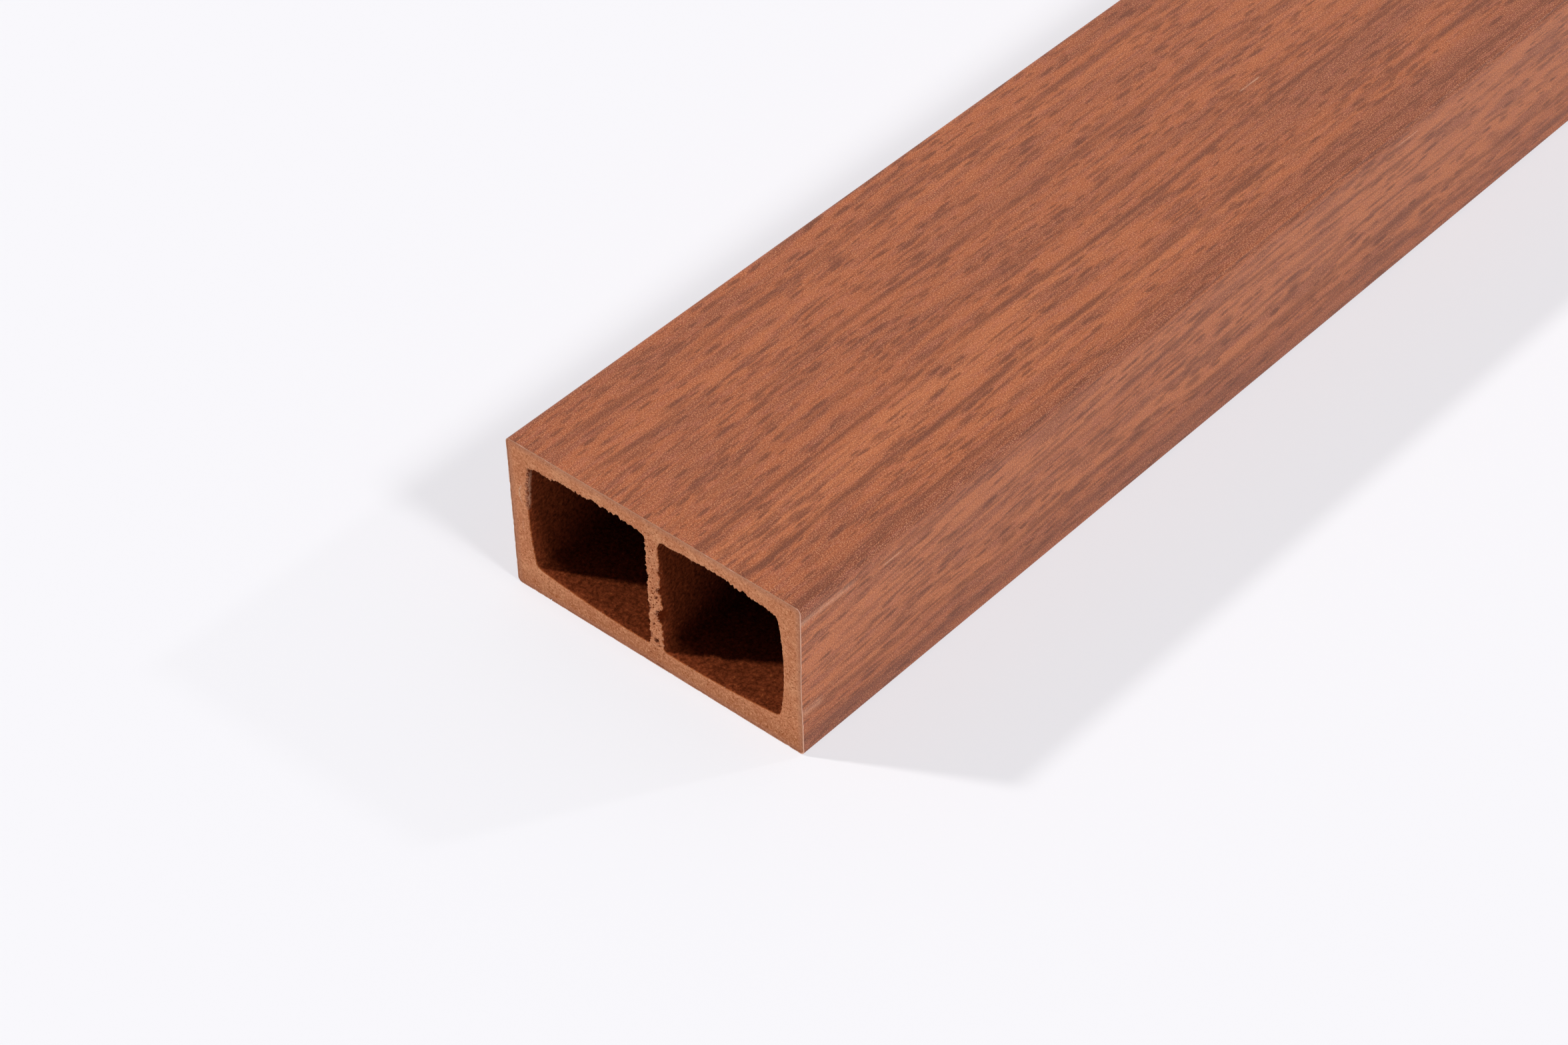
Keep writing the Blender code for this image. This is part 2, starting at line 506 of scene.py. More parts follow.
# the sawn face
sawn = dict(
    grainStep=0.62,            # spacing of its points
    webStep=0.34,              # finer on the web, which is rougher
    webFine=(-3.0, 3.2),       # the stretch of x that the finer points fill
    webClear=(-3.2, 3.4),      # and the one that the others keep off
    stray=0.33,                # how far a point strays, as a share of the spacing
    apart=0.4,                 # and how near an outline it may lie
    rough=0.03, webRough=0.20, webHalf=3.0,    # unevenness, and how much more the web has
    waves=(1.1, 0.5), fineShare=0.6,           # sizes of the unevenness
    round=0.09,                # rims and the outer edge lie this far behind the face
    paintedBiteShade=(0.15, 0.6),      # painted shade: a bite is painted darker between these depths
    ledgeDeep=0.35,            # a torn ledge lies this far behind the face
    notchDeep=0.22, notchMost=1.2,             # and a notch this share of its reach
    crackWide=0.42,            # width of the crack beside a torn rim
    crackTorn=0.3,             # how torn a rim has to be for one
    crackPatch=2.4, crackGaps=(-0.75, -0.25),  # what breaks it: a noise's size and levels
)

# an open cell of the foam
cell = dict(
    sides=8, squash=(0.5, 0.95), uneven=(0.82, 1.15),
    deep=0.5, floor=0.72, bottom=1.3,     # shares: of the radius, of the mouth, of the depth
    offRim=0.30, gap=0.12,     # free foam round it
    widest=1.0,                # every mouth stays within this distance of its middle
)

# the chambers' walls behind a rim
wall = dict(
    firstRing=0.26, ringGrowth=1.42,           # depth of the first ring, and how the gaps grow
    fade=0.75,                 # how deep a ragged rim reaches into the chamber
    ledgeFade=3.0,             # how deep its unevenness along the tube does
    tornFade=0.7, crackFade=0.22,              # and the pale tear and its crack
    rough=0.17, smoothMouth=0.5,               # unevenness of the skin, and how deep it sets in
    lumps=(1.9, 2.6), fineLumps=(0.7, 0.9),    # their size across and along
    fineShare=0.6,
    notchLumps=0.6, paintedNotchShade=1.3,             # how lumpy a notch is behind its rim, and how much darker it is painted there as painted shade
)

# How ragged the saw left each stretch of a rim: from and to in mm along x for a ceiling or a
# floor and along z for an upright side, then the height of the teeth, their pitch, how far a
# ledge is broken back, and how torn it is
rimColumns = "chamber side span teeth pitch ledge torn"
nearRims = table(
    rimColumns,
    ("left", "ceiling", (-42, -3), 0.46, 1.5),
    ("left", "outer", (29, 46), 0.24, 0.9, 0.55, 1.0),
    ("left", "outer", (4, 29), 0.12, 1.1, 0.35),
    ("left", "web", (4, 46), 0.22, 0.9),
    ("right", "ceiling", (2, 17), 0.22, 1.3),
    ("right", "ceiling", (17, 34), 0.52, 1.8),
    ("right", "ceiling", (34, 43), 0.20, 1.2),
    ("right", "web", (4, 46), 0.28, 0.9),
    ("right", "outer", (4, 46), 0.07, 1.0),
)
farRims = table(
    rimColumns,
    ("left", "ceiling", (-42, -2), 0.30, 1.4),
    ("right", "ceiling", (2, 42), 0.36, 1.7),
    ("left", "web", (4, 46), 0.18, 0.9),
    ("right", "web", (4, 46), 0.20, 0.9),
    ("left", "outer", (4, 46), 0.10, 1.0),
    ("right", "outer", (4, 46), 0.14, 1.0),
)
plainRim = dict(teeth=0.05, pitch=1.2)

# chunks that the blade tore out of a rim, and flaps that it left (below 0): where along the
# side, half the length, how far they reach into the foam and how deep into the chamber
notchColumns = "chamber side at reach eaten fade"
nearNotches = table(
    notchColumns,
    ("right", "web", 18.3, 2.7, 1.60, 4.0),
    ("right", "web", 27.0, 1.4, 1.50, 2.6),
    ("right", "web", 21.9, 1.3, -0.80, 1.4),
    ("right", "web", 24.4, 0.9, -0.35, 1.2),
    ("right", "web", 33.5, 1.5, 0.40, 1.2),
    ("left", "web", 19.7, 1.3, 0.80, 1.8),
    ("left", "web", 30.5, 1.6, 0.45, 1.3),
    ("left", "web", 10.0, 1.4, 0.50, 1.3),
)
farNotches = table(
    notchColumns,
    ("left", "web", 31.0, 1.8, 0.9, 2.0),
    ("right", "web", 14.0, 1.4, 0.8, 1.6),
)

# pits torn in the sawn face: the middle, the half width and height, and the depth
nearBites = table(
    "x z wide high deep",
    (0.1, 8.7, 0.85, 0.75, 1.3),
    (1.0, 7.4, 0.9, 0.5, 0.5),
    (0.6, 24.3, 0.5, 0.9, 0.5),
    (-0.5, 14.5, 0.45, 0.8, 0.4),
)
farBites = table("x z wide high deep", (0.3, 36.0, 0.5, 0.8, 0.7))

# open cells of the foam in each region: x and z ranges, cells to the square mm, radius range
cellRegions = table(
    "x z density radius",
    ((-2.0, 2.1), (9.5, 41.0), 1.45, (0.20, 0.50)),
    ((-3.0, 3.5), (41.0, 45.5), 0.95, (0.10, 0.28)),
    ((-3.0, 3.5), (2.5, 9.5), 0.60, (0.10, 0.34)),
    ((44.2, 48.0), (26.0, 44.0), 0.75, (0.09, 0.20)),
    ((45.0, 47.8), (7.0, 26.0), 1.00, (0.11, 0.26)),
    ((37.0, 47.5), (2.2, 8.0), 1.00, (0.10, 0.26)),
    ((-44.0, 37.0), (2.2, 6.5), 0.16, (0.07, 0.15)),
    ((-48.2, -44.0), (4.0, 47.0), 0.16, (0.07, 0.14)),
    ((-44.0, 46.0), (46.0, 48.6), 0.20, (0.06, 0.13)),
)

# the two cuts: where each is, which way the tube runs from it, and what the saw left there
cuts = table(
    "y inward rims notches bites seed",
    (filmLow.y / mm, 1, nearRims, nearNotches, nearBites, 5),
    (filmHigh.y / mm, -1, farRims, farNotches, farBites, 6),
)

# how the blade tears: three sizes of tooth with their shares of the pitch and their weights,
# the larger two squared off, as a saw leaves chips with steep ends; then how jagged a ledge, a
# notch and a bite are
blade = dict(
    pitches=(1.0, 0.45, 0.22), weights=(0.60, 0.40, 0.8), square=(9, 7),
    passes=12,                 # one stretch of a rim runs gently into the next
    ledgeJag=(0.9, 0.7),
    notchJag=(0.5, 0.35), notchSide=(0.45, 1.0), notchFloor=0.5, leastFade=0.5,
    biteJag=0.55, biteJagSize=0.8, biteFine=0.25, biteFineSize=0.3, biteSide=(0.35, 1.05),
)


def sideOf(normal, hand):
    if abs(normal[1]) > 0.7:
        return "ceiling" if normal[1] > 0 else "floor"
    return "outer" if normal[0] * hand > 0 else "web"


# For each point of a chamber's rim: how far the saw ate into the foam there (a burr that hangs
# into the chamber is negative), how torn it is from 0 to 1, and the notches' own reach and fade
def ragged(loop, chamber, stretches, notches, seed):
    sides = [sideOf(normal, -1 if chamber == "left" else 1) for normal in outwardNormals(loop)]
    places = [p[0] if side in ("ceiling", "floor") else p[1] for p, side in zip(loop, sides)]
    teeth, pitch, torn, ledge, notch, fade = (np.zeros(len(loop)) for _ in range(6))
    for i, (side, at) in enumerate(zip(sides, places)):
        found = [s for s in stretches if s["chamber"] == chamber and s["side"] == side
                 and s["span"][0] <= at <= s["span"][1]]
        kind = found[0] if found else plainRim
        teeth[i], pitch[i] = kind["teeth"], kind["pitch"]
        torn[i], ledge[i] = kind.get("torn", 0), kind.get("ledge", 0)
    teeth, torn, ledge = (eased(values, blade["passes"]) for values in (teeth, torn, ledge))

    angles = np.arange(len(loop)) / len(loop) * 2 * pi
    reach = len(loop) * tube["rimStep"] / (2 * pi)

    # a noise that goes round the rim
    def wave(share):
        spots = [(cos(a) * reach / (s * share), sin(a) * reach / (s * share), seed * 3.3 + share)
                 for a, s in zip(angles, pitch)]
        return np.array([noise.noise(Vector(spot)) for spot in spots])

    coarse, middle, fine = (wave(share) for share in blade["pitches"])
    weights, square = blade["weights"], blade["square"]
    bite = (weights[0] * np.tanh(square[0] * coarse) + weights[1] * np.tanh(square[1] * middle)
            + weights[2] * fine)
    for gap in notches:
        for i, (side, at) in enumerate(zip(sides, places)):
            if (chamber, side) == (gap["chamber"], gap["side"]):
                jag = blade["notchJag"][0] * middle[i] + blade["notchJag"][1] * fine[i]
                away = abs(at - gap["at"]) / gap["reach"] + jag
                eaten = gap["eaten"] * float(1 - smoothStep(*blade["notchSide"], away))
                eaten *= 1 + blade["notchFloor"] * fine[i]
                if abs(eaten) > abs(notch[i]):
                    notch[i], fade[i] = eaten, gap["fade"]
    even, jag = blade["ledgeJag"]
    return teeth * bite + ledge * (even + jag * middle), torn, notch, np.maximum(fade, blade["leastFade"])


def biteDepth(points, bites, seed):
    jag = noiseAt([(x, z, 0) for x, z in points], blade["biteJagSize"], seed) * blade["biteJag"]
    fine = noiseAt([(x, z, 1) for x, z in points], blade["biteFineSize"], seed) * blade["biteFine"]
    depth = np.zeros(len(points))
    for bite in bites:
        away = np.hypot((points[:, 0] - bite["x"]) / bite["wide"],
                        (points[:, 1] - bite["z"]) / bite["high"]) + jag + fine
        depth = np.maximum(depth, bite["deep"] * (1 - smoothStep(*blade["biteSide"], away)))
    return depth


def treeOf(points):
    tree = kdtree.KDTree(len(points))
    for i, (x, z) in enumerate(points):
        tree.insert((x, z, 0), i)
    tree.balance()
    return tree


# middles and radii of open cells that lie well inside the foam and clear of each other
def scatterCells(rng, keepOff, solid, mirrored):
    made = []
    for region in cellRegions:
        (x0, x1), (z0, z1), (least, most) = region["x"], region["z"], region["radius"]
        if mirrored:
            x0, x1 = -x1, -x0
        for _ in range(int((x1 - x0) * (z1 - z0) * region["density"])):
            radius = rng.uniform(0, 1) ** 2 * (most - least) + least
            spot = np.array([rng.uniform(x0, x1), rng.uniform(z0, z1)])
            if keepOff.find((*spot, 0))[2] < radius + cell["offRim"] or not solid(spot[None])[0]:
                continue
            if all(np.hypot(*(spot - p[0])) > radius + p[1] + cell["gap"] for p in made):
                made.append((spot, radius))
    return made


def cellMouth(rng, spot, radius):
    turn, squash, lean = rng.uniform(0, 2 * pi), rng.uniform(*cell["squash"]), rng.uniform(0, pi)
    outline = []
    for k in range(cell["sides"]):
        angle = turn + 2 * pi * k / cell["sides"]
        far = radius * rng.uniform(*cell["uneven"])
        a, b = far * cos(angle), far * squash * sin(angle)
        outline.append((spot[0] + a * cos(lean) - b * sin(lean),
                        spot[1] + a * sin(lean) + b * cos(lean)))
    return np.array(outline)


# which points lie in one of the cells' mouths
def inMouths(points, mouths):
    found = np.zeros(len(points), bool)
    for mouth in mouths:
        near = (np.abs(points - mouth.mean(0)) < cell["widest"]).all(1)
        near[near] = insideLoop(points[near], mouth)
        found |= near
    return found


# distance from the outer skin of the tube
def underSkin(point):
    return min(halfWidth - abs(point[0]), point[1], height - point[1])


# loose points of the face: beside a torn rim, where they keep its crack narrow, and in a grid
# that is finer on the web
def fillFace(rng, edges, rims, tears, mouths, solid):
    grain = [(rim + outwardNormals(rim) * sawn["crackWide"])[tear > sawn["crackTorn"]]
             for rim, (tear, _) in zip(rims, tears)]
    close = treeOf(np.vstack([edges] + grain + mouths))
    for step, low, high in ((sawn["grainStep"], -halfWidth, halfWidth),
                            (sawn["webStep"], *sawn["webFine"])):
        xs, zs = np.arange(low, high, step), np.arange(0, height, step)
        grid = np.stack(np.meshgrid(xs, zs), -1).reshape(-1, 2)
        grid = grid + rng.uniform(-sawn["stray"], sawn["stray"], grid.shape) * step
        if step == sawn["grainStep"]:
            grid = grid[(grid[:, 0] < sawn["webClear"][0]) | (grid[:, 0] > sawn["webClear"][1])]
        grid = grid[[close.find((x, z, 0))[2] > sawn["apart"] * step for x, z in grid]]
        grid = grid[solid(grid)]
        grain.append(grid[~inMouths(grid, mouths)])
    return grain


# the foam between outlines as triangles: the points, the triangles, and each outline's indices
def triangulate(outlines, grain, mouths, solid):
    starts = [0, *accumulate(len(outline) for outline in outlines)]
    lines = [(first + i, first + (i + 1) % len(outline)) for first, outline in zip(starts, outlines)
             for i in range(len(outline))]
    points = [Vector(p) for p in np.vstack(outlines + grain)]
    found, _, faces, sources, _, _ = delaunay_2d_cdt(points, lines, [], 0, 1e-6, True)
    flat = np.array([tuple(p) for p in found])
    faces = np.array([f for f in faces if len(f) == 3])
    middles = flat[faces].mean(1)
    faces = faces[solid(middles) & ~inMouths(middles, mouths)]
    index = {source[0]: i for i, source in enumerate(sources) if source}
    rings = [[index[j] for j in range(*span)] for span in zip(starts, starts[1:])]
    print("  sawn face:", len(points), "points in,", len(flat), "out,", len(mouths), "cells")
    return flat, faces, rings


# how far the points lie behind the cut, how torn they are, and how dark a gouge is painted: the torn
# foam's browner colour together with painted shade in bites, notches and cracks
def reliefOf(flat, rings, tears, bites, seed):
    bitten = biteDepth(flat, bites, seed)
    web = np.exp(-(flat[:, 0] / sawn["webHalf"]) ** 2)
    size, fine = sawn["waves"]
    waves = (noiseAt([(x, z, 2) for x, z in flat], size, seed)
             + sawn["fineShare"] * noiseAt([(x, z, 3) for x, z in flat], fine, seed))
    depth = bitten + (sawn["rough"] + sawn["webRough"] * web) * (0.5 + waves)
    for ring in rings[:1 + len(tears)]:
        depth[ring] += sawn["round"]
    depth = np.maximum(depth, 0.0)
    torn, gouge = np.zeros(len(flat)), smoothStep(*sawn["paintedBiteShade"], bitten)
    for ring, (tear, notch) in zip(rings[1:], tears):
        torn[ring] = tear
        depth[ring] += sawn["ledgeDeep"] * tear
        depth[ring] += sawn["notchDeep"] * np.clip(notch, 0, sawn["notchMost"])
        patches = noiseAt([(*flat[i], 5) for i in ring], sawn["crackPatch"], seed)
        crack = smoothStep(*sawn["crackGaps"], patches)
        gouge[ring] = np.clip(np.maximum(notch, tear * crack), 0, 1)
    return depth, torn, gouge


# each cell is a small pit under its mouth: all points with its own, their depths, and its walls
def sinkCells(cells, rings, flat, depth):
    wide, depths, walls = list(flat), list(depth), []
    for (spot, radius), ring in zip(cells, rings):
        mouth, deep, low, n = depth[ring].mean(), radius * cell["deep"], len(wide), len(ring)
        wide += [spot + (flat[i] - spot) * cell["floor"] for i in ring] + [spot]
        depths += [mouth + deep] * n + [mouth + deep * cell["bottom"]]
        for k in range(n):
            after = (k + 1) % n
            walls += [(ring[k], ring[after], low + after, low + k), (low + k, low + after, low + n)]
    return wide, depths, walls


# The sawn face at one end: its points with their depth, its faces, its marks, and the indices
# of the outer edge and of each rim, for the walls to start from
def sawnFace(outer, rims, tears, bites, seed, mirrored):
    rng = np.random.default_rng(seed)
    edges = np.vstack([outer] + rims)

    def solid(points):
        inside = insideLoop(points, outer)
        for rim in rims:
            inside &= ~insideLoop(points, rim)
        return inside

    cells = scatterCells(rng, treeOf(edges), solid, mirrored)
    mouths = [cellMouth(rng, spot, radius) for spot, radius in cells]
    grain = fillFace(rng, edges, rims, tears, mouths, solid)
    flat, faces, rings = triangulate([outer] + rims + mouths, grain, mouths, solid)
    depth, torn, gouge = reliefOf(flat, rings, tears, bites, seed)
    wide, depths, walls = sinkCells(cells, rings[1 + len(rims):], flat, depth)
    added = (0, len(wide) - len(flat))
    # the points inside a cell are marked for a browner colour that is partly painted shade of the pit
    marks = dict(skin=np.minimum([underSkin(p) for p in wide], tube["inside"]),
                 pit=np.pad(np.zeros(len(flat)), added, constant_values=1.0),
                 torn=np.pad(torn, added), gouge=np.pad(gouge, added), mouth=np.zeros(len(wide)))
    return dict(flat=wide, depth=depths, marks=marks, faces=[*map(tuple, faces), *walls],
                outer=rings[0], rims=rings[1:1 + len(rims)])


def addFaces(body, faces, surface):
    body["faces"] += faces
    body["surface"] += [surface] * len(faces)


# four sided faces between two rings of as many points
def addBand(body, upper, lower):
    n = len(upper)
    addFaces(body, [(upper[i], upper[(i + 1) % n], lower[(i + 1) % n], lower[i]) for i in range(n)], 1)


# adds one cut to the tube's body, and gives what its walls start from and where burrs may sit
def sawEnd(body, chambers, closing, cut):
    y, inward, seed = cut["y"], cut["inward"], cut["seed"]
    rims, tears, fades, seats = [], [], [], []
    for name, loop in zip(("left", "right"), chambers):
        eaten, torn, notch, fade = ragged(loop, name, cut["rims"], cut["notches"], seed)
        normals = outwardNormals(loop)
        rims.append(loop + normals * (eaten + notch)[:, None])
        tears.append((torn, notch))
        fades.append(fade)
        shares = burrShares(eaten, torn, notch)
        for (x, z), (nx, nz), crumbs, fibres in zip(rims[-1], normals, *shares):
            seats.append(dict(place=(x * mm, (y + inward * burrs["depth"]) * mm, z * mm),
                              crumbs=crumbs, fibres=fibres,
                              free=(-nx, -burrs["outOfMouth"] * inward, -nz)))
    face = sawnFace(closing, rims, tears, cut["bites"], seed, inward < 0)
    first = len(body["points"])
    body["points"] += [(x, y + inward * d, z) for (x, z), d in zip(face["flat"], face["depth"])]
    addFaces(body, [tuple(first + i for i in f) for f in face["faces"]], 0)
    for name, values in face["marks"].items():
        body["marks"][name] += list(values)
    end = dict(y=y, inward=inward, outer=[first + i for i in face["outer"]],
               rims=[[first + i for i in rim] for rim in face["rims"]],
               notches=[notch for _, notch in tears], fades=fades)
    return end, seats


def ringDepths():
    depths, step = [], wall["firstRing"]
    at = step
    while at < length / 2:
        depths.append(at)
        step *= wall["ringGrowth"]
        at += step
    return np.array(depths)


# the lumps of the skin round a chamber, at a depth
def lumpsAt(loop, depth):
    (across, along), (fineAcross, fineAlong) = wall["lumps"], wall["fineLumps"]
    coarse = [(x / across, depth / along, z / across) for x, z in loop]
    fine = [(x / fineAcross, depth / fineAlong, z / fineAcross + 9) for x, z in loop]
    return np.array([noise.noise(a) + wall["fineShare"] * noise.noise(b) for a, b in zip(coarse, fine)])


# half of a chamber's wall: rings from the rim inwards, wider apart with depth
def lineChamber(body, loop, end, k):
    points, marks, normals = body["points"], body["marks"], outwardNormals(loop)
    rim, notch, fade = end["rims"][k], end["notches"][k], end["fades"][k]
    place = np.array([points[i] for i in rim])
    rimDepth = (place[:, 1] - end["y"]) * end["inward"]
    rimShift = place[:, [0, 2]] - loop - normals * notch[:, None]
    rimTorn, rimGougeAndShade = (np.array([marks[name][i] for i in rim]) for name in ("torn", "gouge"))
    rows = [rim]
    for depth in ringDepths():
        lag = rimDepth * np.exp(-depth / wall["ledgeFade"])
        lumps = lumpsAt(loop, depth)
        grip = 1 - np.exp(-depth / wall["smoothMouth"])
        hollow = notch * (1 - smoothStep(0.0, 1.0, depth / fade)) * (1 + wall["notchLumps"] * lumps)
        outward = wall["rough"] * grip * lumps + hollow
        at = loop + rimShift * np.exp(-depth / wall["fade"]) + normals * outward[:, None]
        rows.append(list(range(len(points), len(points) + len(loop))))
        points += [(x, end["y"] + end["inward"] * (depth + g), z) for (x, z), g in zip(at, lag)]
        # painted shade: the crack beside a torn rim and the hollow of a notch are painted darker
        crack = rimTorn * rimGougeAndShade * np.exp(-(depth / wall["crackFade"]) ** 2)
        made = dict(skin=tube["inside"], pit=0.0, mouth=depth,
                    torn=rimTorn * np.exp(-(depth / wall["tornFade"]) ** 4),
                    gouge=np.clip(np.maximum(hollow * wall["paintedNotchShade"], crack), 0, 1))
        for name, values in made.items():
            marks[name] += list(np.broadcast_to(values, len(loop)))
    return rows


def buildTube(sawnFoam, chamberSkin):
    _, *chambers = sectionLoops(tubeNode)
    chambers = sorted((evenLoop(c, tube["rimStep"], tube["facets"]) for c in chambers),
                      key=lambda loop: loop[:, 0].mean())
    closing = wrapPath(film["wall"] + tube["gapToFilm"], 0.0, 0.0)[:-1]
    body = dict(points=[], faces=[], surface=[],
                marks={name: [] for name in ("skin", "pit", "torn", "gouge", "mouth")})
    ends, seats = zip(*[sawEnd(body, chambers, closing, cut) for cut in cuts])
    for k, loop in enumerate(chambers):
        near, far = (lineChamber(body, loop, end, k) for end in ends)
        rows = near + far[::-1]
        for upper, lower in zip(rows, rows[1:]):
            addBand(body, upper, lower)
    addBand(body, *(end["outer"] for end in ends))

    mesh = bpy.data.meshes.new("foamed_tube")
    mesh.from_pydata([(x * mm, y * mm, z * mm) for x, y, z in body["points"]], [], body["faces"])
    mesh.polygons.foreach_set("material_index", body["surface"])
    for name, values in body["marks"].items():
        markPoints(mesh, name, values)
    mesh.materials.append(sawnFoam)
    mesh.materials.append(chamberSkin)
    shape = bmesh.new()
    shape.from_mesh(mesh)
    openEdges = sum(len(e.link_faces) != 2 for e in shape.edges)
    print("  tube:", len(shape.verts), "points,", sum(len(f.verts) - 2 for f in shape.faces),
          "triangles,", openEdges, "open edges")
    return finishMesh("foamed_tube", mesh, shape, tube["crease"]), seats[0] + seats[1]


# Burrs on the rims

# crumbs and fibres that the saw left hanging on the chambers' rims
burrs = dict(
    depth=0.22,                # how far inside the mouth they sit
    behindCut=0.03,            # none stands nearer to the cut than this
    outOfMouth=0.3,            # how much a fibre leans out of the mouth
    crumb=0.17,                # mean radius of a crumb
    least=0.45, most=1.6,      # how much smaller or larger it may be
    fibre=1.3, shortest=0.35,  # longest fibre, and the shortest as a share of it
    fibreThick=0.035,          # radius of a fibre
    bend=0.22,                 # how far it bends, as a share of its length
    tip=0.25,                  # how thick it ends, as a share of its start
    sway=0.8,
    # how likely a rim point carries one: anywhere, and more where the rim is ragged, torn or
    # notched
    crumbs=(0.04, 0.22, 0.12, 0.5),
    fibres=(0.008, 0.0, 0.05, 0.10),
    ragged=0.5, notched=0.2,   # mm eaten away that count as fully ragged, and as a notch
    seed=11,
)


# scatters crumbs and bent fibres on points; each point says how likely it carries a crumb or a
# fibre, and which way is free
def makeBurrTree():
    tree, given = newTree("scatterRimBurrs", CrumbSize="Float", FibreLength="Float",
                          FibreRadius="Float", Seed="Int", Foam="Material")
    seeds = [put(tree, "add", given["Seed"], shift) for shift in range(6)]
    points = put(tree, "GeometryNodeMeshToPoints", given["Geometry"])

    def drawn(low, high, seed, kind="FLOAT_VECTOR"):
        return put(tree, "FunctionNodeRandomValue", low, high, None, seed, data_type=kind)

    picked = {}
    for name, seed in (("crumbs", seeds[0]), ("fibres", seeds[1])):
        likely = put(tree, "GeometryNodeInputNamedAttribute", name, data_type="FLOAT")
        picked[name] = put(tree, "FunctionNodeCompare", drawn(0.0, 1.0, seed, "FLOAT"), likely,
                           data_type="FLOAT", operation="LESS_THAN")

    ball = put(tree, "GeometryNodeMeshIcoSphere", given["CrumbSize"], 1)
    turn = drawn((0, 0, 0), (2 * pi,) * 3, seeds[2])
    grow = drawn((burrs["least"],) * 3, (burrs["most"],) * 3, seeds[3])
    crumbs = put(tree, "GeometryNodeInstanceOnPoints", points, picked["crumbs"], ball, None, None,
                 turn, grow)

    # a fibre is a bent line with a three sided section, thinning to its tip
    bend = put(tree, "times", given["FibreLength"], burrs["bend"])
    middle = put(tree, "vector", bend, None, put(tree, "times", given["FibreLength"], 0.5))
    tip = put(tree, "vector", None, None, given["FibreLength"])
    line = put(tree, "GeometryNodeCurveQuadraticBezier", 4, (0, 0, 0), middle, tip)
    section = put(tree, "GeometryNodeCurvePrimitiveCircle", 3, given["FibreRadius"])
    along = put(tree, "GeometryNodeSplineParameter")
    taper = put(tree, "ShaderNodeMapRange", along, 0.0, 1.0, 1.0, burrs["tip"])
    thin = put(tree, "GeometryNodeSetCurveRadius", line, None, taper)
    thread = put(tree, "GeometryNodeCurveToMesh", thin, section, None, True)
    free = put(tree, "GeometryNodeInputNamedAttribute", "free", data_type="FLOAT_VECTOR")
    sway = drawn((-burrs["sway"],) * 3, (burrs["sway"],) * 3, seeds[4])
    leaning = put(tree, "ShaderNodeVectorMath", free, sway, operation="ADD")
    upright = put(tree, "FunctionNodeAlignRotationToVector", None, None, leaning, axis="Z")
    fibres = put(tree, "GeometryNodeInstanceOnPoints", points, picked["fibres"], thread, None, None,
                 upright, drawn(burrs["shortest"], 1.0, seeds[5], "FLOAT"))

    both = put(tree, "GeometryNodeJoinGeometry")
    for part in (crumbs, fibres):
        tree.links.new(part.outputs[0], both.inputs[0])
    real = put(tree, "GeometryNodeRealizeInstances", both)
    put(tree, "NodeGroupOutput", put(tree, "GeometryNodeSetMaterial", real, None, given["Foam"]))
    return tree


# how likely each rim point carries a crumb and a fibre, by how ragged the saw left it
def burrShares(eaten, torn, notch):
    here = (1, np.clip(np.abs(eaten) / burrs["ragged"], 0, 1), torn, notch > burrs["notched"])
    return [sum(share * part for share, part in zip(burrs[name], here)) for name in ("crumbs", "fibres")]


def buildBurrs(seats, material):
    seedMesh = bpy.data.meshes.new("rimSeats")
    seedMesh.from_pydata([seat["place"] for seat in seats], [], [])
    for name in ("crumbs", "fibres"):
        markPoints(seedMesh, name, [float(seat[name]) for seat in seats])
    free = [c for seat in seats for c in seat["free"]]
    markPoints(seedMesh, "free", free, "FLOAT_VECTOR", "vector")
    mesh = grown("rim_burrs", seedMesh, makeBurrTree(), CrumbSize=burrs["crumb"] * mm,
                 FibreLength=burrs["fibre"] * mm, FibreRadius=burrs["fibreThick"] * mm,
                 Seed=burrs["seed"], Foam=material)
    nearest, farthest = coreLow.y + burrs["behindCut"] * mm, coreHigh.y - burrs["behindCut"] * mm
    for vert in mesh.vertices:
        vert.co.y = min(max(vert.co.y, nearest), farthest)
    for name in ("crumbs", "fibres", "free"):
        if name in mesh.attributes:
            mesh.attributes.remove(mesh.attributes[name])
    print("  burrs:", len(mesh.vertices), "points,", len(mesh.polygons), "faces")
    return meshObject("rim_burrs", mesh)


# Materials

# PVC decor film, gravure printed and lightly embossed: satin reddish brown, with rows of soft dark dashes
# that run together into long streaks, and a dense fine orange speckle; pale flecks over it are partly
# painted glints of the embossing
printLook = dict(
    base="#a55833", light="#b3653d", band="#85452d", dash="#633422", speck="#e19b6f", bloom="#a65c4a",
    rub="#dcab8d", speckAndGlint="#eeb185", roughness=0.48, ior=1.52, specular=0.25,
    waver=1.7,            # sideways waver of the grain, in mm
    lean=10.0, leanRun=900,    # how far it leans to and fro, and over what length
    fewest=0.15, crowding=0.37, gathering=0.50,    # share of the cells that hold a dash
    relief=0.05, reliefStrength=0.22, dashRelief=0.6,    # depth of the embossing in mm
    glossier=0.05, duller=0.07,    # how far the roughness swings with the grit
    # how some patterns show: where each starts and is full, and from and to what share
    crowds=(0.40, 0.64), breaks=(0.34, 0.58, 0.25, 0.85), wears=(0.35, 0.60, 0.35, 1.0),
    gritOnDash=(0.48, 0.66, 0.96, 0.66), gritOnGloss=(0.3, 0.7),
    # the coats of colour over the base, in their order
    coats=[("level", 0.50, 0.28, 1.00, "band"),
           ("level", 0.50, 0.72, 1.00, "light"),
           ("strip", 0.47, 0.66, 0.80, "band"),
           ("hair", 0.50, 0.75, 0.45, "band"),
           ("bloom", 0.48, 0.66, 0.28, "bloom"),
           ("grit", 0.50, 0.72, 0.50, "speck"),
           ("grit", 0.50, 0.28, 0.55, "dash"),
           # partly painted highlight: pale flecks that also stand for glints of the embossing
           ("speckAndGlint", 0.60, 0.76, 0.55, "speckAndGlint"),
           ("dashes", None, None, 1.00, "dash"),
           ("rubbed", None, None, 1.00, "rub")],
)
